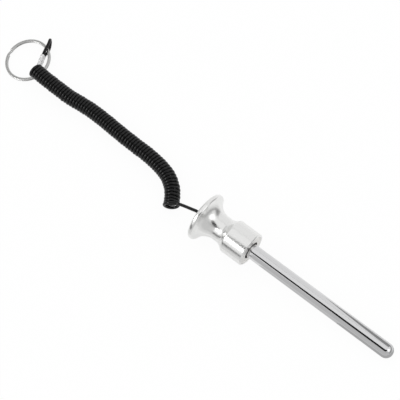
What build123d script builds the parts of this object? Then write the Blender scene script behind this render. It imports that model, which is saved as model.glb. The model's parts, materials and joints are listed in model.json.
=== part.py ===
"""A weight stack pin on a curly cord: a turned steel knob carries a round steel pin, a coiled
cord runs from the knob's back to a crimped loop, and a split ring hangs in that loop.

The pin lies on its side as it comes to rest, on the knob's rim and the pin's tip, with +X
towards the tip. The origin is on the surface, under the middle of the pin and knob.
"""
from build123d import *
from math import acos, asin, atan2, cos, degrees, hypot, pi, radians, sin, tan
import os

# Pin rod, with a turned-down shank pressed into the knob, mm
rod_radius = 5.0
rod_reach = 113.0
shank_radius = 4.0
shank_length = 21.5
shank_chamfer = 0.8

# Knob, turned in one piece
collar_radius = 12.0
collar_length = 16.3
collar_chamfer = 0.6
shoulder_round = 3.0
shoulder_hollow = 5.7
neck_radius = 8.9
neck_length = 1.5
flare_radius = 10.6
rim_radius = 17.3
rim_width = 4.0
rim_front_round = 1.5
rim_rear_round = 1.0

# Ring magnet, glued into the collar's face
magnet_wall = 4.1
magnet_length = 5.0
magnet_bore_gap = 1.3
magnet_glue_gap = 0.1

# Cord and the crimped stop that holds it inside the knob
cord_diameter = 2.2
cord_hole_gap = 0.2
cord_hole_length = 5.0
cord_hole_lip = 0.8
stop_wall = 1.6
stop_length = 6.0
stop_gap = 0.4

# Curly stretch of the cord
coil_diameter = 11.0

# Crimped sleeve on the cord's loop, with the two strands one above the other
sleeve_length = 9.0
sleeve_wall = 0.45
sleeve_slot_gap = 0.05
sleeve_heading = 112.8
crimp_depth = 0.2
crimp_width = 1.4
crimp_count = 2

# Split ring: two flat turns of wire, joined by one step
ring_radius = 16.9
ring_wire_width = 2.0
ring_wire_thickness = 1.0
ring_wire_round = 0.35
ring_turn_gap = 0.1
ring_step_angle = 130.0
ring_step_half = 8.0
ring_loop_gap = 0.3
ring_lift_heading = 61.0

# Places on the surface, measured from the cord's exit at the knob's back
ring_x = -187.9
ring_y = 24.2
sleeve_foot_x = -177.4
sleeve_foot_y = 24.9

# Curly stretch from the knob's end to the ring's: x, y and the height of its underside
coil_route = [
    (-27.2, -3.1, 0.0), (-32.7, 5.2, 0.0), (-42.7, 12.0, 0.0), (-54.5, 15.0, 0.0),
    (-66.5, 16.2, 0.0), (-78.5, 16.6, 0.0), (-90.5, 17.3, 0.0), (-102.5, 18.3, 0.0),
    (-114.5, 19.1, 0.1), (-126.5, 19.0, 0.4), (-138.5, 17.7, 1.1), (-150.5, 17.7, 2.2),
    (-162.7, 18.1, 3.5), (-173.7, 18.7, 4.2),
]

# Plain stretch from the knob to the coil, after its straight start: x, y, z
tail_route = [
    (-9.5, -0.4, 15.3), (-15.8, -0.8, 12.8), (-19.7, -1.2, 11.4), (-23.5, -1.9, 10.5), (-27.9, -1.6, 9.6),
]
tail_straight = 3.5

# Loop beyond the sleeve: over the ring's wire, round the end and back under the wire
lead_in = [(-171.9, 16.1, 7.4), (-175.9, 18.9, 5.6)]
over_route = [(-181.3, 37.5, 6.3), (-182.5, 42.0, 6.3), (-184.9, 46.1, 5.6)]
under_route = [(-184.8, 46.1, 1.1), (-181.8, 42.0, 1.1), (-180.2, 37.8, 1.1)]
loop_straight = 1.7
lead_straight = 2.7

# Share of the shorter run that each bend of a cord takes
bend_share = 0.45

cord_radius = cord_diameter / 2
coil_radius = coil_diameter / 2


def solid_of(profile):
    """Turn a closed profile, drawn as axial place and radius, about the pin's axis."""
    return revolve(Plane.XZ * make_face(profile), Axis.X)


def bar(start, end, radius):
    """A round bar on the pin's axis, between two axial places."""
    return Pos((start + end) / 2, 0, 0) * Rot(0, 90, 0) * Cylinder(radius, abs(end - start))


def bend_radii(points):
    """The largest bend radius that the two runs beside each corner allow."""
    radii = []
    for before, here, after in zip(points, points[1:], points[2:]):
        turn = (here - before).get_angle(after - here)
        shorter = min((here - before).length, (after - here).length)
        radii.append(bend_share * shorter / tan(radians(turn) / 2))
    return radii


def tube(name, points, radius):
    """A round cord along straight runs joined by tangent arcs."""
    points = [Vector(point) for point in points]
    radii = bend_radii(points)
    path = FilletPolyline(*points, radius=radii)
    section = Plane(origin=points[0], z_dir=points[1] - points[0]) * Circle(radius)
    body = sweep(section, path=path)
    expected = pi * radius**2 * path.length
    print(f"{name}: length {path.length:.1f}, bends {min(radii):.1f} to {max(radii):.1f} mm")
    print(f"{name}: volume over section times length {body.volume / expected:.4f}")
    return body


def blend_turn(height, first_radius, second_radius):
    """How far each of two opposite tangent arcs turns to climb a height between them, in degrees."""
    return degrees(acos(1 - height / (first_radius + second_radius)))


# Knob blank: collar, shoulder, neck, flare and rim, from the front face to the back
shoulder_turn = blend_turn(collar_radius - neck_radius, shoulder_round, shoulder_hollow)
flare_turn = blend_turn(rim_radius - neck_radius, flare_radius, rim_front_round)
front_line = Polyline(
    (0, 0),
    (0, collar_radius - collar_chamfer),
    (-collar_chamfer, collar_radius),
    (-collar_length, collar_radius),
)
shoulder_arc = JernArc(front_line @ 1, (-1, 0), shoulder_round, shoulder_turn)
hollow_arc = JernArc(shoulder_arc @ 1, shoulder_arc % 1, shoulder_hollow, -shoulder_turn)
neck_line = Line(hollow_arc @ 1, (hollow_arc @ 1) - Vector(neck_length, 0))
flare_arc = JernArc(neck_line @ 1, (-1, 0), flare_radius, -flare_turn)
rim_arc = JernArc(flare_arc @ 1, flare_arc % 1, rim_front_round, flare_turn)
rim_line = Line(rim_arc @ 1, (rim_arc @ 1) - Vector(rim_width - rim_rear_round, 0))
rear_arc = JernArc(rim_line @ 1, (-1, 0), rim_rear_round, 90)
back = (rear_arc @ 1).X
land_front = (rim_arc @ 1).X
back_line = Polyline(rear_arc @ 1, (back, 0), (0, 0))
knob = solid_of(
    [front_line, shoulder_arc, hollow_arc, neck_line, flare_arc, rim_arc, rim_line, rear_arc, back_line]
)

# Bores: magnet seat, rod, cord stop and cord, from the collar's face to the back
magnet_bore = rod_radius + magnet_bore_gap
magnet_radius = magnet_bore + magnet_wall
seat_radius = magnet_radius + magnet_glue_gap
stop_radius = cord_radius + stop_wall
chamber_radius = stop_radius + stop_gap
hole_radius = cord_radius + cord_hole_gap
stop_back = back + cord_hole_length
stop_front = stop_back + stop_length
shank_end = -magnet_length - shank_length
chamber_front = shank_end

knob -= bar(-magnet_length, 0, seat_radius)
knob -= bar(shank_end, 0, shank_radius)
knob -= bar(stop_back, chamber_front, chamber_radius)
knob -= bar(back, stop_back, hole_radius)
lip_edge = knob.edges().filter_by(GeomType.CIRCLE).filter_by_position(Axis.X, back, back)
knob = fillet(lip_edge.sort_by(lambda edge: edge.radius)[0], cord_hole_lip)

# Rod: chamfered shank, shoulder on the floor of the magnet's seat, hemispherical tip
tip_centre = rod_reach - rod_radius
rod_outline = Polyline(
    (shank_end, 0),
    (shank_end, shank_radius - shank_chamfer),
    (shank_end + shank_chamfer, shank_radius),
    (-magnet_length, shank_radius),
    (-magnet_length, rod_radius),
    (tip_centre, rod_radius),
)
tip_arc = JernArc(rod_outline @ 1, (1, 0), rod_radius, -90)
pin_rod = solid_of([rod_outline, tip_arc, Line(tip_arc @ 1, (shank_end, 0))])

# Ring magnet, flush with the collar's face, and the stop crimped on the cord's end
ring_magnet = bar(-magnet_length, 0, magnet_radius) - bar(-magnet_length, 0, magnet_bore)
cord_stop = bar(stop_back, stop_front, stop_radius) - bar(stop_back, stop_front, cord_radius)

# How the pin comes to rest: the rim's front round and the ball of the tip touch the surface
rim_arm = rim_radius - rim_front_round
rest_span = tip_centre - land_front
tilt = atan2(rim_arm, rest_span) + asin((rim_front_round - rod_radius) / hypot(rest_span, rim_arm))
low_end = (back + rim_rear_round) * cos(tilt) - (rim_radius - rim_rear_round) * sin(tilt) - rim_rear_round
high_end = tip_centre * cos(tilt) + rod_radius
face_x = -(low_end + high_end) / 2
face_z = rod_radius + tip_centre * sin(tilt)
rest = Location((face_x, 0, face_z), (0, degrees(tilt), 0))


def on_axis(place):
    """The point at an axial place on the pin's axis, with the pin at rest."""
    return Vector(face_x + place * cos(tilt), 0, face_z - place * sin(tilt))


exit_x = on_axis(back).X


def from_exit(points):
    """Cord points, given from the knob's back along X, as points in the frame."""
    return [(exit_x + x, y, z) for x, y, z in points]


# Curly stretch, as one tube of its outer diameter
cord_coil = tube("cord_coil", from_exit([(x, y, coil_radius + rise) for x, y, rise in coil_route]), coil_radius)

# Plain stretch: from the stop, out of the knob's back and down to the coil
tail_points = [on_axis(stop_front), on_axis(back - tail_straight), *from_exit(tail_route)]
cord_tail = tube("cord_tail", tail_points, cord_radius) - cord_coil

# Sleeve's two strands run straight along its heading, one on the other
along = Vector(cos(radians(sleeve_heading)), sin(radians(sleeve_heading)), 0)
foot = Vector(exit_x + sleeve_foot_x, sleeve_foot_y, 0)
lower_z = sleeve_wall + sleeve_slot_gap + cord_radius
upper_z = lower_z + cord_diameter
lower, upper = Vector(0, 0, lower_z), Vector(0, 0, upper_z)


def beside_sleeve(place, strand):
    """A point on a strand of the sleeve, at a distance from the sleeve's foot."""
    return foot + along * place + strand


loop_points = [
    *from_exit(lead_in),
    beside_sleeve(-lead_straight, upper),
    beside_sleeve(sleeve_length + loop_straight, upper),
    *from_exit(over_route),
    *from_exit(under_route),
    beside_sleeve(sleeve_length + loop_straight, lower),
    beside_sleeve(0, lower),
]
cord_loop = tube("cord_loop", loop_points, cord_radius) - cord_coil


# Sleeve: a slotted oblong tube with shallow crimps across it
def sleeve_slice(start, length, pinch):
    """One length of the sleeve, with its outside drawn in by the pinch."""
    middle = foot + along * start + (lower + upper) / 2
    across = Plane(origin=middle, x_dir=(0, 0, 1), z_dir=along)
    outer_width = cord_diameter + 2 * (sleeve_slot_gap + sleeve_wall - pinch)
    slot_width = cord_diameter + 2 * sleeve_slot_gap
    outer = SlotCenterToCenter(cord_diameter, outer_width)
    slot = SlotCenterToCenter(cord_diameter, slot_width)
    return extrude(across * (outer - slot), length)


plain_width = (sleeve_length - crimp_count * crimp_width) / (crimp_count + 1)
loop_ferrule = Part() + sleeve_slice(0, plain_width, 0)
for crimp in range(crimp_count):
    crimp_start = plain_width + crimp * (plain_width + crimp_width)
    loop_ferrule += sleeve_slice(crimp_start, crimp_width, crimp_depth)
    loop_ferrule += sleeve_slice(crimp_start + crimp_width, plain_width, 0)

# Split ring: the lower turn, the step up and the upper turn, of one flat wire
wire_middle = ring_radius - ring_wire_width / 2
turn_rise = ring_wire_thickness + ring_turn_gap
ring_height = ring_wire_thickness + turn_rise


def wire_section(angle, height):
    """The wire's cross-section, standing on the ring's own plane at an angle round it."""
    place = Rot(0, 0, angle) * Pos(wire_middle, 0, height)
    return place * (Plane.XZ * RectangleRounded(ring_wire_width, ring_wire_thickness, ring_wire_round))


def step_height(share):
    """Smooth rise from the lower turn's height to the upper's."""
    return -turn_rise / 2 + turn_rise * share**2 * (3 - 2 * share)


turn_arc = 360 - 2 * ring_step_half
step_start = ring_step_angle - ring_step_half
step_end = ring_step_angle + ring_step_half
step_shares = [0, 0.25, 0.5, 0.75, 1]
step = loft([wire_section(step_start + share * 2 * ring_step_half, step_height(share)) for share in step_shares])
lower_turn = revolve(wire_section(step_end, -turn_rise / 2), Axis.Z, turn_arc)
upper_turn = revolve(wire_section(step_end, turn_rise / 2), Axis.Z, turn_arc)
split_ring = lower_turn + step + upper_turn

# The ring leans on the loop's lower strand and meets the surface on its far side
ring_lean = asin((cord_diameter + ring_loop_gap) / (2 * ring_radius - ring_wire_width))
ring_z = ring_radius * sin(ring_lean) + ring_height / 2 * cos(ring_lean)
ring_place = Location((exit_x + ring_x, ring_y, ring_z), (0, 0, ring_lift_heading)) * Rot(0, -degrees(ring_lean), 0)

parts = {
    "knob": rest * knob,
    "pin_rod": rest * pin_rod,
    "ring_magnet": rest * ring_magnet,
    "cord_stop": rest * cord_stop,
    "cord_tail": cord_tail,
    "cord_coil": cord_coil,
    "cord_loop": cord_loop,
    "loop_ferrule": loop_ferrule,
    "split_ring": ring_place * split_ring,
}

os.makedirs("parts", exist_ok=True)
for name, part in parts.items():
    export_step(part, f"parts/{name}.step")

print("tilt", degrees(tilt), "collar face", on_axis(0), "cord exit", on_axis(back))
print("axis", (cos(tilt), 0, -sin(tilt)), "knob length", -back)
print("ring centre", ring_place.position, "lean", degrees(ring_lean), "height", ring_height)
print("ring axis", Plane(ring_place).z_dir)
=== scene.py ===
import json

import bmesh
import bpy
import numpy as np
from mathutils import Matrix


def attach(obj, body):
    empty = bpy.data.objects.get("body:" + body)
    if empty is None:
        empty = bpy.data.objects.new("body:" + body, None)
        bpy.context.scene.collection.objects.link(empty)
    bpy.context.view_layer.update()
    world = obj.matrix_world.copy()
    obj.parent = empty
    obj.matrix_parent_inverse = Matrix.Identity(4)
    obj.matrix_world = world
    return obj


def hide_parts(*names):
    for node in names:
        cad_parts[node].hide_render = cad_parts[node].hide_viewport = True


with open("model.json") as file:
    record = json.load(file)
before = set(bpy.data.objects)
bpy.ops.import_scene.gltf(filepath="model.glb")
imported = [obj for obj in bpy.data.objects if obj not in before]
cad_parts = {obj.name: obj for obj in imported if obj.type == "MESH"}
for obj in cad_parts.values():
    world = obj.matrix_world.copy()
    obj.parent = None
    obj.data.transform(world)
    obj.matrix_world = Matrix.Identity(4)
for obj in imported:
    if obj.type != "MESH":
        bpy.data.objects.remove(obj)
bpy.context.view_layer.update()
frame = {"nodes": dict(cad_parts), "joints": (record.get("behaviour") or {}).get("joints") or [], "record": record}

# Knob: one piece of free-cutting steel, turned with a straight collar, a waist and a wide rim, bored
# from both ends, polished and bright nickel plated. Its collar takes the magnet and the rod, and the
# cord goes in through the hole in its back.
MM = 0.001
KNOB_LENGTH = 39.98 * MM
COLLAR_RADIUS = 12.0 * MM
COLLAR_LENGTH = 15.6 * MM
COLLAR_CHAMFER = 0.6 * MM
SHOULDER_ROUND = 2.4 * MM
SHOULDER_HOLLOW = 7.6 * MM
NECK_RADIUS = 8.9 * MM
NECK_LENGTH = 2.2 * MM
FLARE_RADIUS = 12.3 * MM
RIM_RADIUS = 17.3 * MM
RIM_FRONT_ROUND = 1.4 * MM
RIM_REAR_ROUND = 1.6 * MM
SEAT_RADIUS = 10.5 * MM
SEAT_DEPTH = 5.0 * MM
SHANK_RADIUS = 4.0 * MM
SHANK_END = 26.5 * MM
CHAMBER_RADIUS = 3.1 * MM
CORD_HOLE_RADIUS = 1.3 * MM
CORD_HOLE_LENGTH = 5.0 * MM
CORD_HOLE_LIP = 0.8 * MM
EDGE_BREAK = 0.12 * MM
MERGE_DISTANCE = 0.001 * MM
TURNING_SPACING = 0.5 * MM

rod_mount = next(m for m in frame["record"]["mounts"] if m["name"] == "rod")
collar_face = np.array(rod_mount["pos_m"])
pin_axis = np.array(rod_mount["axis"])
pin_side = np.array((0.0, 1.0, 0.0))
pin_up = np.cross(pin_axis, pin_side)


def arc(centre, radius, start, end):
    """Points on a circle: the centre plus the radius times the cosine and sine of angles spread
    evenly from start to end, about one for every two degrees."""
    count = max(4, round(abs(end - start) / 2) + 1)
    angle = np.radians(np.linspace(start, end, count))
    return np.asarray(centre) + radius * np.stack((np.cos(angle), np.sin(angle)), axis=1)


def eased(profile, reach):
    """A closed profile with its corners of more than 15 degrees broken, by the reach or a fifth of
    the side. Each becomes a small curve: its start times the square of what is left of the share,
    plus the corner times twice the share times what is left of it, plus its end times the square
    of the share. One more point at each side keeps the face beside it flat."""
    before, after = np.roll(profile, 1, axis=0), np.roll(profile, -1, axis=0)
    come, go = profile - before, after - profile
    come_length = np.linalg.norm(come, axis=1, keepdims=True)
    go_length = np.linalg.norm(go, axis=1, keepdims=True)
    come, go = come / come_length, go / go_length
    sharp = (come * go).sum(axis=1) < np.cos(np.radians(15))
    come_reach = np.minimum(reach, come_length / 5)
    go_reach = np.minimum(reach, go_length / 5)
    back, ahead = come * come_reach, go * go_reach
    start, end = profile - back, profile + ahead
    share = np.linspace(0, 1, 5)[:, None]
    curve = (
        (1 - share) ** 2 * start[:, None] + 2 * share * (1 - share) * profile[:, None]
        + share**2 * end[:, None]
    )
    first, last = profile - 2 * back, profile + 2 * ahead
    points = np.concatenate((first[:, None], curve, last[:, None]), axis=1)
    points[~sharp, 0] = profile[~sharp]
    kept = np.ones(points.shape[:2], dtype=bool)
    kept[~sharp, 1:] = False
    return points[kept]


def surface(name, grid, wrap_rows=True):
    """A smooth mesh from a grid of points, rows by columns. Each face joins four neighbours, the
    columns close on themselves, the rows too where wrap_rows is set, points that fall together
    merge, and the faces are turned outwards."""
    rows, columns = grid.shape[:2]
    here = np.arange(rows * columns).reshape(rows, columns)
    right, below = np.roll(here, -1, axis=1), np.roll(here, -1, axis=0)
    across = np.roll(below, -1, axis=1)
    faces = np.stack((here, right, across, below), axis=-1)
    faces = faces if wrap_rows else faces[:-1]
    mesh = bpy.data.meshes.new(name)
    mesh.from_pydata(grid.reshape(-1, 3).tolist(), [], faces.reshape(-1, 4).tolist())
    shape = bmesh.new()
    shape.from_mesh(mesh)
    bmesh.ops.remove_doubles(shape, verts=shape.verts, dist=MERGE_DISTANCE)
    bmesh.ops.recalc_face_normals(shape, faces=shape.faces)
    shape.to_mesh(mesh)
    shape.free()
    mesh.shade_smooth()
    piece = bpy.data.objects.new(name, mesh)
    bpy.context.scene.collection.objects.link(piece)
    return piece


def turned(name, profile, steps=192, wrap_rows=True):
    """A profile of places along the pin and radii, turned about the pin's axis: the collar's face
    plus the axis times the place, plus the radius round the axis."""
    angle = np.linspace(0, 2 * np.pi, steps, endpoint=False)
    spokes = np.cos(angle)[:, None] * pin_side + np.sin(angle)[:, None] * pin_up
    place, radius = profile[:, 0], profile[:, 1]
    grid = collar_face + place[:, None, None] * pin_axis + radius[:, None, None] * spokes
    return surface(name, grid, wrap_rows)


def blend_turn(height, first_radius, second_radius):
    """How far two opposite tangent arcs turn to climb a height: the angle whose cosine is one less
    the height's share of the two radii."""
    return np.arccos(1 - height / (first_radius + second_radius))


shoulder_turn = blend_turn(COLLAR_RADIUS - NECK_RADIUS, SHOULDER_ROUND, SHOULDER_HOLLOW)
flare_turn = blend_turn(RIM_RADIUS - NECK_RADIUS, FLARE_RADIUS, RIM_FRONT_ROUND)
shoulder_run = (SHOULDER_ROUND + SHOULDER_HOLLOW) * np.sin(shoulder_turn)
flare_run = (FLARE_RADIUS + RIM_FRONT_ROUND) * np.sin(flare_turn)
neck_front = -COLLAR_LENGTH - shoulder_run
neck_back = neck_front - NECK_LENGTH
rim_front = neck_back - flare_run
knob_back = -KNOB_LENGTH
shoulder_degrees, flare_degrees = np.degrees(shoulder_turn), np.degrees(flare_turn)
hole_front = knob_back + CORD_HOLE_LENGTH

knob_profile = np.concatenate((
    [(0, SEAT_RADIUS), (0, COLLAR_RADIUS - COLLAR_CHAMFER), (-COLLAR_CHAMFER, COLLAR_RADIUS)],
    arc((-COLLAR_LENGTH, COLLAR_RADIUS - SHOULDER_ROUND), SHOULDER_ROUND, 90, 90 + shoulder_degrees),
    arc((neck_front, NECK_RADIUS + SHOULDER_HOLLOW), SHOULDER_HOLLOW, 270 + shoulder_degrees, 270)[1:],
    arc((neck_back, NECK_RADIUS + FLARE_RADIUS), FLARE_RADIUS, 270, 270 - flare_degrees),
    arc((rim_front, RIM_RADIUS - RIM_FRONT_ROUND), RIM_FRONT_ROUND, 90 - flare_degrees, 90)[1:],
    arc((knob_back + RIM_REAR_ROUND, RIM_RADIUS - RIM_REAR_ROUND), RIM_REAR_ROUND, 90, 180),
    arc((knob_back + CORD_HOLE_LIP, CORD_HOLE_RADIUS + CORD_HOLE_LIP), CORD_HOLE_LIP, 180, 270),
    [(hole_front, CORD_HOLE_RADIUS), (hole_front, CHAMBER_RADIUS), (-SHANK_END, CHAMBER_RADIUS)],
    [(-SHANK_END, SHANK_RADIUS), (-SEAT_DEPTH, SHANK_RADIUS), (-SEAT_DEPTH, SEAT_RADIUS)],
))
knob = turned("turned_knob", eased(knob_profile, EDGE_BREAK))


def linear(colour):
    """An sRGB hex colour as linear light: each part over 255, over 12.92 where dark, and otherwise
    the part plus 0.055, over 1.055, to the power 2.4."""
    parts = np.array([int(colour[i:i + 2], 16) for i in (1, 3, 5)]) / 255
    light = np.where(parts <= 0.04045, parts / 12.92, ((parts + 0.055) / 1.055) ** 2.4)
    return (*light.tolist(), 1.0)


def add(tree, kind, settings=(), inputs=()):
    """Add one shader node, with its own settings, and its inputs as values or as sockets to link."""
    made = tree.nodes.new("ShaderNode" + kind)
    for key, value in dict(settings).items():
        setattr(made, key, value)
    for key, value in dict(inputs).items():
        if isinstance(value, bpy.types.NodeSocket):
            tree.links.new(value, made.inputs[key])
        else:
            made.inputs[key].default_value = value
    return made


def material(name):
    """An empty node material and its output node's surface socket."""
    made = bpy.data.materials.new(name)
    made.use_nodes = True
    made.node_tree.nodes.clear()
    output = made.node_tree.nodes.new("ShaderNodeOutputMaterial")
    return made, made.node_tree, output.inputs["Surface"]


def turning_marks(tree, spacing):
    """Fine rings left by a lathe: noise read at the place along the pin and the distance from its
    axis, so that it is the same all round, with one ring for each spacing."""
    place = add(tree, "TexCoord")
    lean = float(np.arctan2(-pin_axis[2], pin_axis[0]))
    straight = add(tree, "VectorRotate", {"rotation_type": "Y_AXIS"}, {
        "Vector": place.outputs["Object"], "Center": tuple(collar_face), "Angle": -lean,
    })
    centred = add(tree, "VectorMath", {"operation": "SUBTRACT"}, {
        0: straight.outputs["Vector"], 1: tuple(collar_face),
    })
    parts = add(tree, "SeparateXYZ", (), {"Vector": centred.outputs["Vector"]})
    round_axis = add(tree, "CombineXYZ", (), {"X": parts.outputs["Y"], "Y": parts.outputs["Z"]})
    radius = add(tree, "VectorMath", {"operation": "LENGTH"}, {0: round_axis.outputs["Vector"]})
    rings = add(tree, "CombineXYZ", (), {"X": parts.outputs["X"], "Y": radius.outputs["Value"]})
    return add(tree, "TexNoise", (), {
        "Vector": rings.outputs["Vector"], "Scale": 1 / spacing, "Detail": 3.0, "Roughness": 0.6,
    })


# Bright nickel over turned steel: white metal with soft-edged reflections. The lathe's real rings
# are 0.1 mm apart, and are drawn 0.5 mm apart to show at all.
knob_finish, tree, out = material("bright_nickel_on_turned_steel")
marks = turning_marks(tree, TURNING_SPACING)
groove = add(tree, "Bump", (), {"Height": marks.outputs["Fac"], "Strength": 0.03, "Distance": 0.01 * MM})
shine = add(tree, "MapRange", (), {"Value": marks.outputs["Fac"], "To Min": 0.22, "To Max": 0.24})
shader = add(tree, "BsdfPrincipled", (), {
    "Base Color": linear("#ececeb"), "Metallic": 1.0, "Roughness": shine.outputs["Result"],
    "Normal": groove.outputs["Normal"],
})
tree.links.new(shader.outputs["BSDF"], out)
knob.data.materials.append(knob_finish)
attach(knob, "pin")
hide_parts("knob")

# Rod: round steel bar, ground and polished, with a ball-shaped tip. Its shank is turned down and
# pressed into the knob, with the shoulder on the floor of the magnet's seat.
ROD_RADIUS = 5.0 * MM
ROD_REACH = 113.0 * MM
SHANK_CHAMFER = 0.8 * MM
GRINDING_SPACING = 0.4 * MM

tip_centre = ROD_REACH - ROD_RADIUS
rod_profile = np.concatenate((
    [(-SHANK_END, 0), (-SHANK_END, SHANK_RADIUS - SHANK_CHAMFER)],
    [(-SHANK_END + SHANK_CHAMFER, SHANK_RADIUS), (-SEAT_DEPTH, SHANK_RADIUS), (-SEAT_DEPTH, ROD_RADIUS)],
    arc((tip_centre, 0), ROD_RADIUS, 90, 0),
))
rod = turned("polished_rod", eased(rod_profile, EDGE_BREAK / 2), steps=128, wrap_rows=False)

# Ground and polished steel: a light grey mirror, with long sharp-edged reflections. The grinding
# marks are a few hundredths of a millimetre apart, and are drawn 0.4 mm apart to show at all.
rod_finish, tree, out = material("ground_and_polished_steel")
marks = turning_marks(tree, GRINDING_SPACING)
groove = add(tree, "Bump", (), {"Height": marks.outputs["Fac"], "Strength": 0.05, "Distance": 0.01 * MM})
shader = add(tree, "BsdfPrincipled", (), {
    "Base Color": linear("#dcdcdd"), "Metallic": 1.0, "Roughness": 0.07,
    "Normal": groove.outputs["Normal"],
})
tree.links.new(shader.outputs["BSDF"], out)
rod.data.materials.append(rod_finish)
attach(rod, "pin")
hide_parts("pin_rod")

# Ring magnet: pressed and sintered ring, nickel plated, glued flush into the collar's face. The
# gap inside it shows as a dark ring round the rod.
MAGNET_RADIUS = 10.4 * MM
MAGNET_BORE = 6.3 * MM
MAGNET_EDGE = 0.2 * MM
SINTER_GRAIN = 0.6 * MM

magnet_profile = np.array([
    (0, MAGNET_BORE), (0, MAGNET_RADIUS), (-SEAT_DEPTH, MAGNET_RADIUS), (-SEAT_DEPTH, MAGNET_BORE),
])
magnet = turned("ring_magnet_plated", eased(magnet_profile, MAGNET_EDGE), steps=128)

# Satin nickel plate: pale and even, with no clear reflection. The sintered grain under it is about
# 0.01 mm, too fine to show, and is drawn 0.6 mm wide.
magnet_finish, tree, out = material("satin_nickel_plate")
place = add(tree, "TexCoord")
grain = add(tree, "TexNoise", (), {
    "Vector": place.outputs["Object"], "Scale": 1 / SINTER_GRAIN, "Detail": 4.0,
})
pits = add(tree, "Bump", (), {"Height": grain.outputs["Fac"], "Strength": 0.15, "Distance": 0.01 * MM})
shader = add(tree, "BsdfPrincipled", (), {
    "Base Color": linear("#e4e3e0"), "Metallic": 1.0, "Roughness": 0.3,
    "Normal": pits.outputs["Normal"],
})
tree.links.new(shader.outputs["BSDF"], out)
magnet.data.materials.append(magnet_finish)
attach(magnet, "pin")
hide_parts("ring_magnet")

# Cord stop: a short aluminium sleeve crimped on the cord's end, hidden in the chamber inside the
# knob. It keeps the shape that it has in the frame.
PRESSING_GRAIN = 0.5 * MM

# Pressed aluminium: light grey and dull, with faint dents from the dies, half a millimetre wide.
crimp_finish, tree, out = material("pressed_aluminium")
place = add(tree, "TexCoord")
grain = add(tree, "TexNoise", (), {
    "Vector": place.outputs["Object"], "Scale": 1 / PRESSING_GRAIN, "Detail": 3.0,
})
dents = add(tree, "Bump", (), {"Height": grain.outputs["Fac"], "Strength": 0.12, "Distance": 0.02 * MM})
shine = add(tree, "MapRange", (), {"Value": grain.outputs["Fac"], "To Min": 0.34, "To Max": 0.46})
shader = add(tree, "BsdfPrincipled", (), {
    "Base Color": linear("#e6e6e6"), "Metallic": 1.0, "Roughness": shine.outputs["Result"],
    "Normal": dents.outputs["Normal"],
})
tree.links.new(shader.outputs["BSDF"], out)
cord_stop = frame["nodes"]["cord_stop"]
cord_stop.data.materials.clear()
cord_stop.data.materials.append(crimp_finish)

# Crimped sleeve: oblong tube of soft aluminium, pressed on the two strands of the cord's loop, one
# above the other. Two dies leave shallow bands across it. Its finish is the cord stop's.
CORD_RADIUS = 1.1 * MM
SLEEVE_LENGTH = 9.0 * MM
SLEEVE_WALL = 0.45 * MM
SLEEVE_GAP = 0.05 * MM
SLEEVE_LIP = 0.15 * MM
SLEEVE_HEADING = 112.8  # degrees from X
SLEEVE_FOOT = (-177.4 * MM, 24.9 * MM)
CRIMP_DEPTH = 0.2 * MM
CRIMP_WIDTH = 1.4 * MM
CRIMP_COUNT = 2

cord_exit = collar_face + knob_back * pin_axis
heading = np.radians(SLEEVE_HEADING)
sleeve_axis = np.array((np.cos(heading), np.sin(heading), 0.0))
sleeve_side = np.array((np.sin(heading), -np.cos(heading), 0.0))
upright = np.array((0.0, 0.0, 1.0))
lower_strand = SLEEVE_WALL + SLEEVE_GAP + CORD_RADIUS
upper_strand = lower_strand + 2 * CORD_RADIUS
sleeve_foot = np.array((cord_exit[0] + SLEEVE_FOOT[0], SLEEVE_FOOT[1], 0.0))
sleeve_inside = CORD_RADIUS + SLEEVE_GAP
plain_width = (SLEEVE_LENGTH - CRIMP_COUNT * CRIMP_WIDTH) / (CRIMP_COUNT + 1)


def pinch(place):
    """How deep the dies go at places along the sleeve: for each band, the crimp's depth times a
    bump that is one less the sixth power of the distance from its middle over half its width."""
    middles = plain_width + CRIMP_WIDTH / 2 + np.arange(CRIMP_COUNT) * (plain_width + CRIMP_WIDTH)
    away = np.abs(place[:, None] - middles) / (CRIMP_WIDTH / 2)
    return CRIMP_DEPTH * np.clip(1 - away**6, 0, 1).sum(axis=1)


# The wall's loop runs along its outside, round the front mouth, back inside and round the back mouth
outer_place = np.linspace(SLEEVE_LIP, SLEEVE_LENGTH - SLEEVE_LIP, 91)
outer = np.stack((outer_place, sleeve_inside + SLEEVE_WALL - pinch(outer_place)), axis=1)
wall_middle = sleeve_inside + SLEEVE_WALL / 2
mouth_front = arc((SLEEVE_LENGTH - SLEEVE_LIP, wall_middle), SLEEVE_WALL / 2, 90, -90)
mouth_back = arc((SLEEVE_LIP, wall_middle), SLEEVE_WALL / 2, 270, 90)
mouth_middle = mouth_front.mean(axis=0) * (1, 0)
mouth_front = (mouth_front - mouth_middle) * (SLEEVE_LIP / (SLEEVE_WALL / 2), 1.0) + mouth_middle
sleeve_loop = np.concatenate((outer, mouth_front[1:-1], mouth_back[:-1]))
# The loop is swept round the two strands: a half circle about each, with straight sides between them
turn = np.linspace(0, np.pi, 25)
half_round = np.stack((np.cos(turn), np.sin(turn)), axis=1)
round_way = np.concatenate((half_round, -half_round))
strand_height = np.repeat((upper_strand, lower_strand), len(turn))
spokes = round_way[:, :1] * sleeve_side + round_way[:, 1:] * upright
cores = strand_height[:, None] * upright
grid = (
    sleeve_foot + sleeve_loop[:, 0, None, None] * sleeve_axis + cores
    + sleeve_loop[:, 1, None, None] * spokes
)
ferrule = surface("crimped_sleeve", grid)
ferrule.data.materials.append(crimp_finish)
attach(ferrule, "pin")
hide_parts("loop_ferrule")

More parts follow.
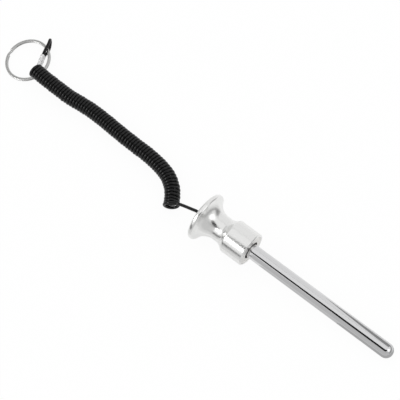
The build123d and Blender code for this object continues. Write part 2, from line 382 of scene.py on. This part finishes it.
# Split ring: flat spring-steel wire with well rounded edges, wound in two turns that step over each
# other once, and nickel plated. Both ends are cut square at the step. It turns through the cord's loop.
RING_RADIUS = 16.9 * MM
WIRE_WIDTH = 2.0 * MM
WIRE_THICKNESS = 1.0 * MM
WIRE_SQUARENESS = 2.5
TURN_GAP = 0.1 * MM
STEP_ANGLE = 130.0  # degrees round the ring, as is half the step's length
STEP_HALF = 8.0
END_INSET = 0.98
RING_LIFT_HEADING = 61.0  # degrees from X
WEAR_WIDTH = 6.0 * MM

ring_joint = next(j for j in frame["joints"] if j["name"] == "ring_turn")
ring_centre = np.array(ring_joint["pos_m"])
ring_axis = np.array(ring_joint["axis"])
lift = np.radians(RING_LIFT_HEADING)
ring_first = np.array((np.cos(lift), np.sin(lift), 0.0))
ring_first -= ring_axis * (ring_first @ ring_axis)
ring_first /= np.linalg.norm(ring_first)
ring_second = np.cross(ring_axis, ring_first)


def ring_wire(spacing):
    """The wire's middle line as angles and heights: two turns less the two half steps at its ends.
    Its height climbs by one wire and one gap over the step, as three squares less two cubes of the
    share of the step that is done."""
    travel = np.arange(0, 720 - 2 * STEP_HALF + spacing / 2, spacing)
    done = np.clip((travel - (360 - 2 * STEP_HALF)) / (2 * STEP_HALF), 0, 1)
    climb = (WIRE_THICKNESS + TURN_GAP) * (done**2 * (3 - 2 * done) - 0.5)
    return np.radians(STEP_ANGLE + STEP_HALF + travel), climb


# The wire's section is a superellipse: the cosine and sine of even angles, each to the power of two
# over the squareness, times half the width and half the thickness.
angle, climb = ring_wire(spacing=2.0)
section_turn = np.radians(np.arange(0, 360, 10))
way = np.stack((np.cos(section_turn), np.sin(section_turn)), axis=1)
section = np.sign(way) * np.abs(way) ** (2 / WIRE_SQUARENESS) * (WIRE_WIDTH / 2, WIRE_THICKNESS / 2)

# Each end is closed on its middle, with one more section just inside its edge to keep it flat
rings, heights = np.pad(angle, 2, mode="edge"), np.pad(climb, 2, mode="edge")
scale = np.ones(len(rings))
scale[[0, 1, -2, -1]] = 0, END_INSET, END_INSET, 0
out_way = np.cos(rings)[:, None] * ring_first + np.sin(rings)[:, None] * ring_second
wire_middle = RING_RADIUS - WIRE_WIDTH / 2
grid = (
    ring_centre + (wire_middle * out_way + heights[:, None] * ring_axis)[:, None, :]
    + (scale[:, None] * section[:, 0])[:, :, None] * out_way[:, None, :]
    + (scale[:, None] * section[:, 1])[:, :, None] * ring_axis
)
ring = surface("split_ring_wire", grid, wrap_rows=False)

# Nickel on spring steel, worn by handling: grey satin metal. The wear is in soft patches about 6 mm
# wide, a finger's touch, which change its gloss and bend its reflections a little.
ring_finish, tree, out = material("nickel_on_spring_steel")
place = add(tree, "TexCoord")
grain = add(tree, "TexNoise", (), {
    "Vector": place.outputs["Object"], "Scale": 1 / WEAR_WIDTH, "Detail": 2.0,
})
wear = add(tree, "Bump", (), {"Height": grain.outputs["Fac"], "Strength": 0.2, "Distance": 0.1 * MM})
shine = add(tree, "MapRange", (), {"Value": grain.outputs["Fac"], "To Min": 0.22, "To Max": 0.3})
shader = add(tree, "BsdfPrincipled", (), {
    "Base Color": linear("#bebebd"), "Metallic": 1.0, "Roughness": shine.outputs["Result"],
    "Normal": wear.outputs["Normal"],
})
tree.links.new(shader.outputs["BSDF"], out)
ring.data.materials.append(ring_finish)
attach(ring, "ring")
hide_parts("split_ring")

# Cord: one length of smooth black plastic over a braided core, plain where it leaves the knob,
# heat-set into a close left-handed coil, then looped round the ring and back through the sleeve.
COIL_RADIUS = 5.5 * MM
WINDING_RADIUS = COIL_RADIUS - CORD_RADIUS
TURNS = 64.5
POINTS_PER_TURN = 24
PITCH_AT_KNOB = 2.5 * MM
PITCH_AT_RING = 2.32 * MM
END_GROWTH = 0.7 * MM
END_TURNS = 1.8
SPREAD = 0.15 * MM
SHIFT = 0.3 * MM
SEED = 11
SKIN_RIPPLE = 0.8 * MM

# Points are millimetres along X from the cord's exit, along Y, and up from the surface
TAIL_ROUTE = (
    (-9.5, -0.4, 15.3), (-15.8, -0.8, 12.8), (-19.7, -1.2, 11.4), (-23.5, -1.9, 10.5),
)
COIL_ROUTE = (
    (-26.5, -4.3, 5.5), (-32.7, 5.2, 5.5), (-42.7, 12.0, 5.5), (-54.5, 15.0, 5.5),
    (-66.5, 16.2, 5.5), (-78.5, 16.6, 5.5), (-90.5, 17.3, 5.5), (-102.5, 18.3, 5.5),
    (-114.5, 19.1, 5.6), (-126.5, 19.0, 5.9), (-138.5, 17.7, 6.6), (-150.5, 17.7, 7.7),
    (-162.7, 18.1, 9.0), (-173.7, 18.7, 9.7),
)
OVER_ROUTE = ((-181.3, 37.5, 6.3), (-182.5, 42.0, 6.3), (-184.9, 46.1, 5.6))
UNDER_ROUTE = ((-185.4, 45.6, 1.1), (-182.5, 41.4, 1.1), (-180.8, 37.3, 1.1))
LEAD_STRAIGHT = 2.7 * MM
LOOP_STRAIGHT = 1.7 * MM
TAIL_STRAIGHT = 3.5 * MM
STOP_FRONT = knob_back + 11.0 * MM


def from_exit(points):
    """Points given in millimetres from the cord's exit along X, as points in the frame."""
    return np.array(points) * MM + (cord_exit[0], 0, 0)


def beside_sleeve(place, height):
    """A point on a strand of the sleeve, at a distance from its foot."""
    return (sleeve_foot + sleeve_axis * place + upright * height)[None, :]


def spline(name, points, resolution):
    """One open NURBS curve of order 3 with these control points, as a curve."""
    curve = bpy.data.curves.new(name, "CURVE")
    curve.dimensions = "3D"
    line = curve.splines.new("NURBS")
    line.points.add(len(points) - 1)
    line.points.foreach_set("co", np.column_stack((points, np.ones(len(points)))).ravel())
    line.order_u = 3
    line.use_endpoint_u = True
    line.resolution_u = resolution
    return curve


def line_of(curve):
    """The points that Blender gives for a curve with no bevel, in order along it."""
    holder = bpy.data.objects.new(curve.name, curve)
    mesh = bpy.data.meshes.new_from_object(holder)
    points = np.empty(len(mesh.vertices) * 3)
    mesh.vertices.foreach_get("co", points)
    bpy.data.objects.remove(holder)
    bpy.data.meshes.remove(mesh)
    return points.reshape(-1, 3)


def wound(middle):
    """The coil's helix: the middle line, plus the winding radius times the cosine of the winding
    angle upwards and its sine to the left. The angle starts at the top and grows by a full turn for
    each pitch travelled, scaled to give all the turns. The pitch changes evenly from the knob to
    the ring. The last turns at the knob are wider by the growth times the square of the
    share still to go. Seeded steps, one for each half turn, widen the turns a little and move them
    sideways, and the coil stands higher by the most that they widen."""
    travel = np.concatenate(([0], np.cumsum(np.linalg.norm(np.diff(middle, axis=0), axis=1))))
    even = np.linspace(0, travel[-1], 40 * len(middle))
    middle = np.stack([np.interp(even, travel, middle[:, i]) for i in range(3)], axis=1)
    rate = 1 / np.linspace(PITCH_AT_KNOB, PITCH_AT_RING, len(even))
    winding = np.cumsum(rate) - rate[0]
    winding *= TURNS / winding[-1]
    count = round(TURNS * POINTS_PER_TURN) + 1
    wanted = np.linspace(0, TURNS, count)
    ahead = np.gradient(middle, axis=0)
    centre = np.stack([np.interp(wanted, winding, middle[:, i]) for i in range(3)], axis=1)
    ahead = np.stack([np.interp(wanted, winding, ahead[:, i]) for i in range(3)], axis=1)
    ahead /= np.linalg.norm(ahead, axis=1, keepdims=True)
    left = np.cross(upright, ahead)
    left /= np.linalg.norm(left, axis=1, keepdims=True)
    above = np.cross(ahead, left)
    turn = 2 * np.pi * wanted[:, None]
    growth = END_GROWTH * np.clip(1 - wanted / END_TURNS, 0, 1)[:, None] ** 2
    steps = np.random.default_rng(SEED).uniform(0, 1, (2, 2 * round(TURNS) + 3))
    spread, shift = (np.interp(2 * wanted, np.arange(steps.shape[1]), row)[:, None] for row in steps)
    radius = WINDING_RADIUS + growth + SPREAD * spread
    offset = (growth + SPREAD) * upright + SHIFT * (shift - 0.5) * left
    return centre + offset + radius * (np.cos(turn) * above + np.sin(turn) * left)


middle_line = line_of(spline("coil_middle", from_exit(COIL_ROUTE), resolution=12))
coil_points = wound(middle_line)
cord_points = np.concatenate((
    [collar_face + STOP_FRONT * pin_axis, collar_face + (knob_back - TAIL_STRAIGHT) * pin_axis],
    from_exit(TAIL_ROUTE),
    coil_points,
    beside_sleeve(-LEAD_STRAIGHT, upper_strand),
    beside_sleeve(SLEEVE_LENGTH + LOOP_STRAIGHT, upper_strand),
    from_exit(OVER_ROUTE),
    from_exit(UNDER_ROUTE),
    beside_sleeve(SLEEVE_LENGTH + LOOP_STRAIGHT, lower_strand),
    beside_sleeve(0, lower_strand),
))
cord_curve = spline("curly_cord", cord_points, resolution=3)
cord_curve.bevel_depth = CORD_RADIUS
cord_curve.bevel_resolution = 4
cord_curve.use_fill_caps = True
cord = bpy.data.objects.new("curly_cord", cord_curve)
bpy.context.scene.collection.objects.link(cord)

# Black polyurethane, extruded smooth: a deep black that shows only its glints, one on each turn,
# with faint ripples 0.8 mm long.
cord_finish, tree, out = material("black_extruded_polyurethane")
place = add(tree, "TexCoord")
ripple = add(tree, "TexNoise", (), {
    "Vector": place.outputs["Object"], "Scale": 1 / SKIN_RIPPLE, "Detail": 2.0,
})
skin = add(tree, "Bump", (), {"Height": ripple.outputs["Fac"], "Strength": 0.12, "Distance": 0.02 * MM})
shine = add(tree, "MapRange", (), {"Value": ripple.outputs["Fac"], "To Min": 0.1, "To Max": 0.16})
shader = add(tree, "BsdfPrincipled", (), {
    "Base Color": linear("#030304"), "Roughness": shine.outputs["Result"], "IOR": 1.38,
    "Normal": skin.outputs["Normal"],
})
tree.links.new(shader.outputs["BSDF"], out)
cord_curve.materials.append(cord_finish)
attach(cord, "pin")
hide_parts("cord_tail", "cord_coil", "cord_loop")

# Surface: a wide sheet of smooth white card. The camera and the metal see it near white, and it
# keeps a faint soft shadow where the pin lies.
FLOOR_SIZE = 3.0
FLOOR_WHITE = 0.94
FLOOR_IN_METAL = 0.35
SHEEN_START, SHEEN_FULL, SHEEN_MOST = 0.5, 0.95, 0.5

corners = np.array(((-1, -1, 0), (1, -1, 0), (1, 1, 0), (-1, 1, 0))) * FLOOR_SIZE / 2
floor_mesh = bpy.data.meshes.new("white_card")
floor_mesh.from_pydata(corners.tolist(), [], [(0, 1, 2, 3)])
floor = bpy.data.objects.new("white_card", floor_mesh)
bpy.context.scene.collection.objects.link(floor)

# Smooth white card: matt from above, with a soft sheen where it is met at a low angle, which only
# shows in the metal.
card_finish, tree, out = material("smooth_white_card")
rays = add(tree, "LightPath")
in_metal = add(tree, "Math", {"operation": "MULTIPLY"}, {
    0: rays.outputs["Is Glossy Ray"], 1: FLOOR_IN_METAL,
})
share = add(tree, "Math", {"operation": "MULTIPLY_ADD"}, {
    0: rays.outputs["Is Camera Ray"], 1: FLOOR_WHITE, 2: in_metal.outputs["Value"],
})
matt = add(tree, "BsdfDiffuse", (), {"Color": linear("#fafafa")})
white = add(tree, "Emission", (), {"Color": (1, 1, 1, 1), "Strength": 1.0})
mix = add(tree, "MixShader", (), {
    "Fac": share.outputs["Value"], 1: matt.outputs["BSDF"], 2: white.outputs["Emission"],
})
sheen = add(tree, "BsdfGlossy", (), {"Color": (1, 1, 1, 1), "Roughness": 0.15})
slant = add(tree, "LayerWeight", (), {"Blend": 0.5})
grazing = add(tree, "MapRange", (), {
    "Value": slant.outputs["Facing"], "From Min": SHEEN_START, "From Max": SHEEN_FULL,
    "To Min": 0.0, "To Max": SHEEN_MOST,
})
grazing = add(tree, "Math", {"operation": "MULTIPLY"}, {
    0: grazing.outputs["Result"], 1: rays.outputs["Is Glossy Ray"],
})
mix = add(tree, "MixShader", (), {
    "Fac": grazing.outputs["Value"], 1: mix.outputs["Shader"], 2: sheen.outputs["BSDF"],
})
tree.links.new(mix.outputs["Shader"], out)
floor_mesh.materials.append(card_finish)

# Studio: a white tent that only the metal and the cord's gloss see. The camera looks in through a
# dark slit in its roof. Its front is open to a far wall, and two round lamps, grey cloths, grey cards
# and painted shade under the rod give the metal its light and dark bands.
# All places are metres from the origin: left and right along X, front and back along Y.
ROOF = 0.7
FRONT, BACK = -0.45, 0.44
LEFT, RIGHT = -0.75, 0.75
TENT_LEFT_FOOT = 0.02
ROOF_LEFT = -0.66
SEAM = 0.018
FAR_FRONT = -2.7
FAR_LEFT, FAR_RIGHT = -4.4, 4.9
FAR_ROOF = 4.4
FLAP_END = -0.36
FLAP_FOOT = 0.36
FLAP_FOLD = 2.4
CLOTH_HEIGHT = 0.0004
CLOTH_REACH = 1.4
CLOTH_JOIN = -0.1
CLOTH_BACK = -0.095
CLOTH_RIGHT = 0.19
STRIP_FRONT, STRIP_BACK = -0.032, 0.012
NEAR_LEFT, NEAR_RIGHT = -0.12, 0.1
# Painted shade under the rod: where it begins, and where its darker part towards the tip begins
ROD_SHADOW_LEFT, ROD_SHADOW_RIGHT = -0.03, 0.035
TIP_RIGHT = 0.12
DIM_BACK = 0.2
DIM_HEAD = 0.22
DIM_FOOT_LEFT, DIM_HEAD_LEFT = -0.015, 0.05
LOW_HEAD = 0.06
LOW_END = (0.28, -0.04)
GREY_FRONT = -0.062
GREY_HEAD = 0.074
GREY_LEFT, GREY_RIGHT = -0.046, 0.125
SLIT_ENDS = ((-0.30, -0.50), (0.60, -0.13))
SLIT_HALF = 0.18
SLIT_DROP = 0.005
ROOM_LIGHT = 0.12


def board(name, corners, light):
    """A flat board that gives an even light of its own to reflections only."""
    mesh = bpy.data.meshes.new(name)
    mesh.from_pydata(list(corners), [], [tuple(range(len(corners)))])
    piece = bpy.data.objects.new(name, mesh)
    bpy.context.scene.collection.objects.link(piece)
    for way in ("visible_camera", "visible_diffuse", "visible_transmission", "visible_shadow"):
        setattr(piece, way, False)
    finish, tree, out = material(name)
    glow = add(tree, "Emission", (), {"Color": (light, light, light, 1), "Strength": 1.0})
    tree.links.new(glow.outputs["Emission"], out)
    mesh.materials.append(finish)


def upright_board(name, start, end, foot, head, light):
    """A standing board between two places on the ground, from its foot to its head."""
    board(name, ((*start, foot), (*end, foot), (*end, head), (*start, head)), light)


def flat_board(name, left, right, front, back, height, light):
    """A board lying level."""
    board(name, (
        (left, front, height), (right, front, height), (right, back, height), (left, back, height),
    ), light)


def round_board(name, azimuth, elevation, away, radius, light):
    """A disc at an azimuth, an elevation and a distance from the knob, turned to face it: its middle
    plus the radius times the cosine and sine of 32 even angles."""
    azimuth, elevation = np.radians((azimuth, elevation))
    back = np.array((
        np.cos(azimuth) * np.cos(elevation), np.sin(azimuth) * np.cos(elevation), np.sin(elevation),
    ))
    right = np.array((-np.sin(azimuth), np.cos(azimuth), 0.0))
    up = np.cross(back, right)
    turn = np.linspace(0, 2 * np.pi, 32, endpoint=False)[:, None]
    middle = collar_face + away * back
    board(name, (middle + radius * (np.cos(turn) * right + np.sin(turn) * up)).tolist(), light)


# The tent: its roof stops short of its left side and, by a seam, of its back
flat_board("tent_roof", ROOF_LEFT, RIGHT, FRONT, BACK - SEAM, ROOF, light=0.93)
upright_board("tent_back", (LEFT, BACK), (RIGHT, BACK), 0.0, ROOF, light=0.88)
upright_board("tent_left", (LEFT, FRONT), (LEFT, BACK), TENT_LEFT_FOOT, ROOF, light=0.75)
upright_board("tent_right", (RIGHT, FRONT), (RIGHT, BACK), 0.0, ROOF, light=0.6)

# The far wall: a bright flap at the left that ends above the ground, and two greyer sheets at the
# right, one over the other
flap_foot, far_foot = (FLAP_END, FAR_FRONT), (FAR_RIGHT, FAR_FRONT)
upright_board("flap_left", (FAR_LEFT, FAR_FRONT), flap_foot, FLAP_FOOT, FAR_ROOF, light=0.9)
upright_board("front_right", flap_foot, far_foot, 0.0, FLAP_FOLD, light=0.64)
upright_board("high_front", flap_foot, far_foot, FLAP_FOLD, FAR_ROOF, light=0.48)

# The lamps: a soft one in the tent at the right, and a bright one before the far wall, to the left
round_board("lamp_right", azimuth=13, elevation=40, away=0.72, radius=0.25, light=1.4)
round_board("lamp_front", azimuth=-122, elevation=39, away=3.0, radius=0.62, light=6.0)

# Cloths on the surface: wide ones in front and at the right, and one close in front of the pin. Two
# dim strips under the rod are painted shade, the rod's own shadow on the surface, which shows in its lower edge
flat_board("cloth_left", -CLOTH_REACH, CLOTH_JOIN, -CLOTH_REACH, CLOTH_BACK, CLOTH_HEIGHT, light=0.15)
flat_board("cloth_front", CLOTH_JOIN, CLOTH_REACH, -CLOTH_REACH, CLOTH_BACK, CLOTH_HEIGHT, light=0.6)
flat_board("near_cloth", NEAR_LEFT, NEAR_RIGHT, CLOTH_BACK, STRIP_FRONT, CLOTH_HEIGHT, light=0.75)
# Painted shade: two dim strips that stand for the rod's shadow on the surface, seen only in reflections
flat_board("painted_rod_shadow", ROD_SHADOW_LEFT, ROD_SHADOW_RIGHT, STRIP_FRONT, STRIP_BACK, CLOTH_HEIGHT, light=0.66)
flat_board("painted_tip_shadow", ROD_SHADOW_RIGHT, TIP_RIGHT, STRIP_FRONT, STRIP_BACK, CLOTH_HEIGHT, light=0.5)
flat_board("cloth_right", CLOTH_RIGHT, CLOTH_REACH, CLOTH_BACK, CLOTH_REACH, CLOTH_HEIGHT, light=0.5)

# Grey cards behind the rod, past its tip and in front of it. The first has a slanted left end, so
# that the rod's grey streak widens slowly towards the tip.
board("dim_card", (
    (DIM_FOOT_LEFT, DIM_BACK, 0.0), (TIP_RIGHT, DIM_BACK, 0.0),
    (TIP_RIGHT, DIM_BACK, DIM_HEAD), (DIM_HEAD_LEFT, DIM_BACK, DIM_HEAD),
), light=0.3)
upright_board("low_card", (TIP_RIGHT, DIM_BACK), LOW_END, 0.0, LOW_HEAD, light=0.36)
upright_board("grey_card", (GREY_LEFT, GREY_FRONT), (GREY_RIGHT, GREY_FRONT), 0.0, GREY_HEAD, light=0.6)

# The slit's half width is its widest times one less the fourth power of the share from its middle
share = np.linspace(-1, 1, 25)
start, end = np.array(SLIT_ENDS[0]), np.array(SLIT_ENDS[1])
along = (end - start) / np.linalg.norm(end - start)
side = np.array((-along[1], along[0]))
middle = (start + end) / 2 + share[:, None] * (end - start) / 2
bulge = SLIT_HALF * (1 - share**4)[:, None] * side
outline = np.concatenate((middle + bulge, (middle - bulge)[-2:0:-1]))
slit = np.column_stack((outline, np.full(len(outline), ROOF - SLIT_DROP)))
board("tent_slit", slit.tolist(), light=0.01)

# The air: white light for what is matt, and a dark room where a reflection looks past the boards
world = bpy.data.worlds.new("studio_air")
bpy.context.scene.world = world
world.use_nodes = True
tree = world.node_tree
tree.nodes.clear()
out = tree.nodes.new("ShaderNodeOutputWorld").inputs["Surface"]
rays = add(tree, "LightPath")
room = add(tree, "Background", (), {"Color": (ROOM_LIGHT, ROOM_LIGHT, ROOM_LIGHT, 1), "Strength": 1.0})
plain = add(tree, "Background", (), {"Color": (1, 1, 1, 1), "Strength": 1.0})
mix = add(tree, "MixShader", (), {
    "Fac": rays.outputs["Is Glossy Ray"], 1: plain.outputs["Background"], 2: room.outputs["Background"],
})
tree.links.new(mix.outputs["Shader"], out)

# Camera: high over the pin's front right, as the photograph was taken. Its place and its turn were
# fitted to the rod's edges, the rim and the ring, and so was its focal length, 1401 pixels in a
# frame 400 pixels wide.
CAMERA_PLACE = (0.25442, -0.24734, 0.83975)
CAMERA_RIGHT = (0.76317, 0.63532, -0.11801)
CAMERA_UP = (-0.53221, 0.72156, 0.44284)
SENSOR = 36.0
FOCAL_SHARE = 1401 / 400

camera_data = bpy.data.cameras.new("camera")
camera_data.sensor_width = SENSOR
camera_data.lens = SENSOR * FOCAL_SHARE
camera_data.clip_end = 20.0
camera = bpy.data.objects.new("camera", camera_data)
bpy.context.scene.collection.objects.link(camera)
camera_back = np.cross(CAMERA_RIGHT, CAMERA_UP)
camera_rows = np.column_stack((CAMERA_RIGHT, CAMERA_UP, camera_back, CAMERA_PLACE))
camera.matrix_world = Matrix([*camera_rows.tolist(), (0, 0, 0, 1)])
bpy.context.scene.camera = camera
bpy.context.scene.view_settings.view_transform = "Standard"
